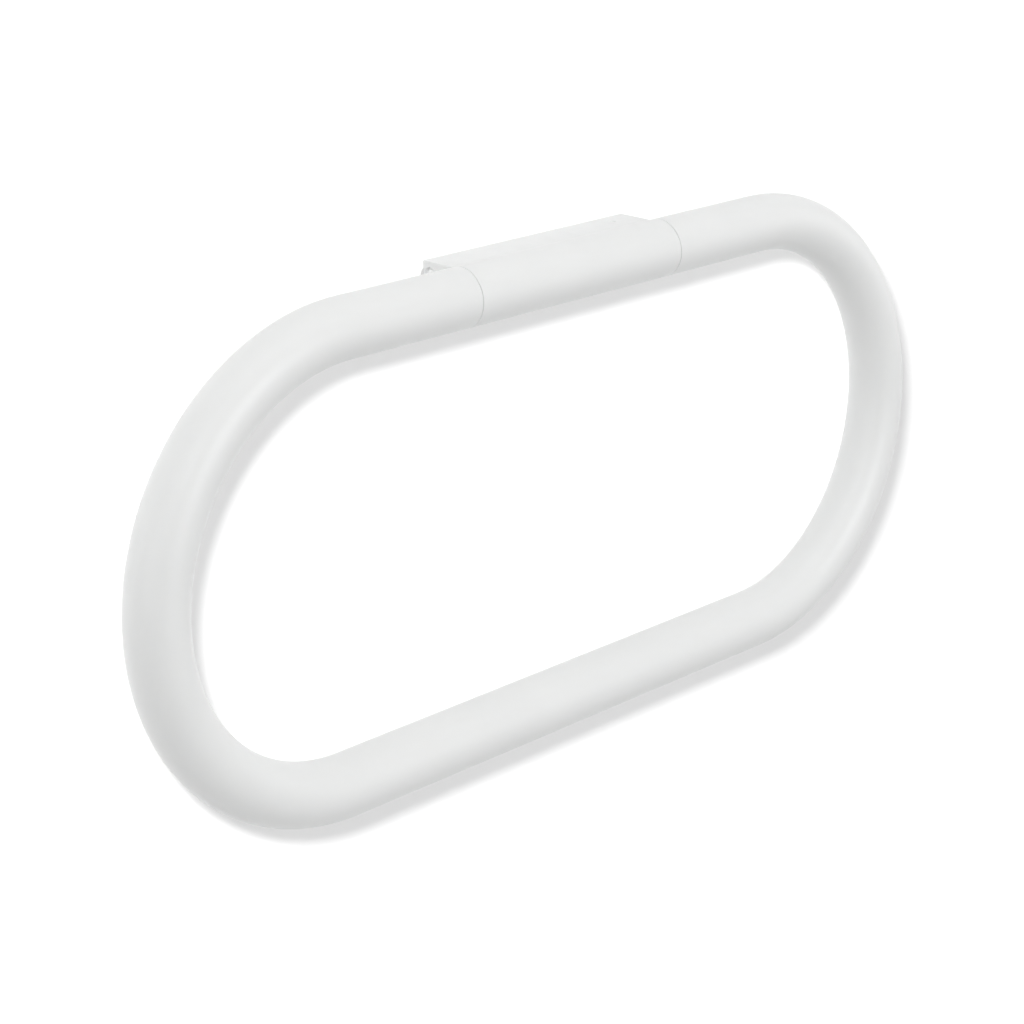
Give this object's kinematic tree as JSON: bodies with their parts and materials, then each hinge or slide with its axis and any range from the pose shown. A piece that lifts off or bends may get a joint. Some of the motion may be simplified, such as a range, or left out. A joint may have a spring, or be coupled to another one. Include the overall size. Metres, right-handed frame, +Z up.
{
  "type": "towel ring",
  "caption": "Oval towel ring of thick round white polyamide tube that swings on two pins in a short block screwed to a wall.",
  "frame": {"origin": "on the wall face, behind the middle of the holder block, level with the pivot axis", "axes": "+Y into the wall, +Z up, +X along the holder block, to the right when facing the wall"},
  "size_m": [0.326, 0.0631, 0.15],
  "materials": {
    "polyamide_white": "satin moulded polyamide",
    "core_steel": "drawn tube, plain",
    "plug_aluminium": "turned",
    "acetal_natural": "natural acetal, satin",
    "pin_steel": "ground stainless",
    "grub_screw_steel": "dark stainless",
    "plate_stainless": "brushed",
    "pad_elastomer": "matte white elastomer",
    "wall_screw_zinc": "zinc plated",
    "cap_polyamide": "satin"
  },
  "bodies": {
    "holder": {"holder_body": "polyamide_white", "pivot_pin_left": "pin_steel", "pivot_pin_right": "pin_steel", "pin_lock_screws": "grub_screw_steel", "thrust_washer_left": "acetal_natural", "thrust_washer_right": "acetal_natural", "wall_plate": "plate_stainless", "backing_pad": "pad_elastomer", "wall_screws": "wall_screw_zinc", "locking_screws": "grub_screw_steel", "locking_screw_caps": "cap_polyamide"},
    "ring": {"ring_tube": "polyamide_white", "ring_core": "core_steel", "end_plug_left": "plug_aluminium", "end_plug_right": "plug_aluminium", "pivot_bush_left": "acetal_natural", "pivot_bush_right": "acetal_natural"}
  },
  "joints": [
    {"name": "ring_swing", "type": "hinge", "parent": "holder", "child": "ring", "pos_m": [0, -0.01675, 0], "axis": [-1, 0, 0], "range_deg": [-3, 183]}
  ]
}
